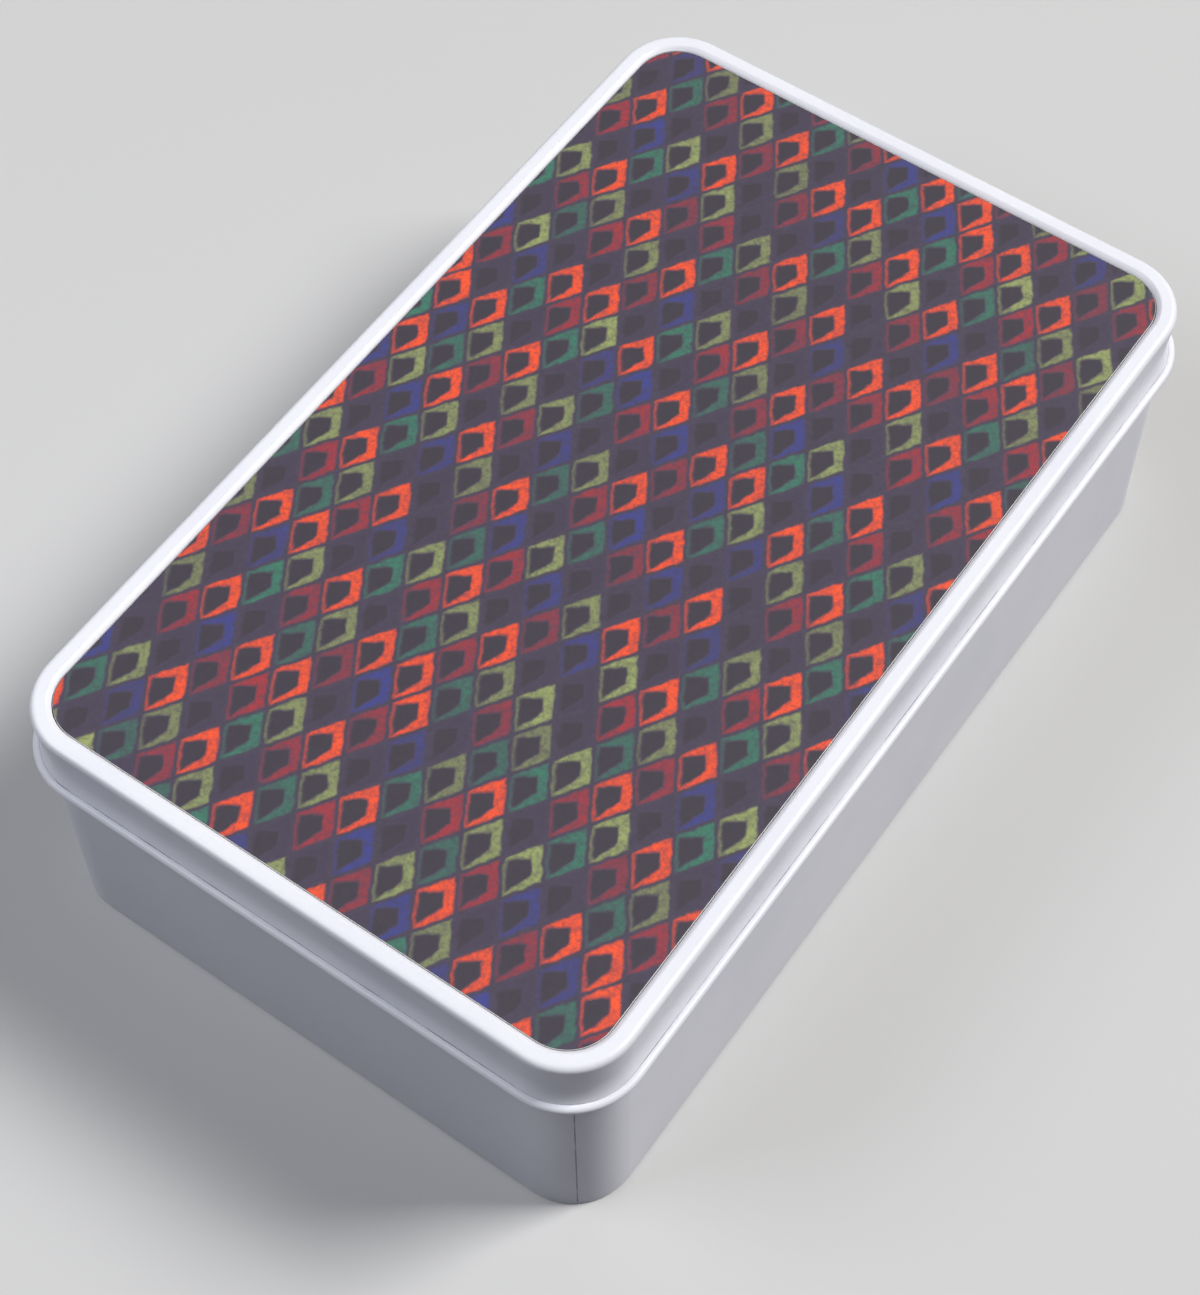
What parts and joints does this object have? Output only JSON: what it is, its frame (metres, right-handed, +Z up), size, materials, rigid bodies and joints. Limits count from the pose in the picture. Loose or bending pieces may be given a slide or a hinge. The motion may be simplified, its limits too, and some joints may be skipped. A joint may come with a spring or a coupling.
{
  "type": "hinged game tin",
  "caption": "Rectangular tinplate box with rounded corners and a hinged lid: raised rim, recessed printed panel, coved skirt and rolled edge.",
  "frame": {"origin": "middle of the underside, on the surface that the tin stands on", "axes": "+X along the length, -Y to the front edge of the lid, +Y to the hinges, +Z up"},
  "size_m": [0.1944, 0.1214, 0.0572],
  "materials": {
    "white_coat": "satin white lacquer",
    "printed_insert": "satin print on a coated aluminium plate",
    "adhesive_film": "matt",
    "hinge_wire": "drawn steel wire"
  },
  "bodies": {
    "tin_body": {"body_wall": "white_coat", "base_panel": "white_coat"},
    "lid": {"lid_shell": "white_coat", "insert_panel": "printed_insert", "insert_adhesive": "adhesive_film", "hinge_wire_left": "hinge_wire", "hinge_wire_right": "hinge_wire"}
  },
  "joints": [
    {"name": "lid_hinge", "type": "hinge", "parent": "tin_body", "child": "lid", "pos_m": [0, 0.0599, 0.0444], "axis": [-1, 0, 0], "range_deg": [0, 110]}
  ]
}
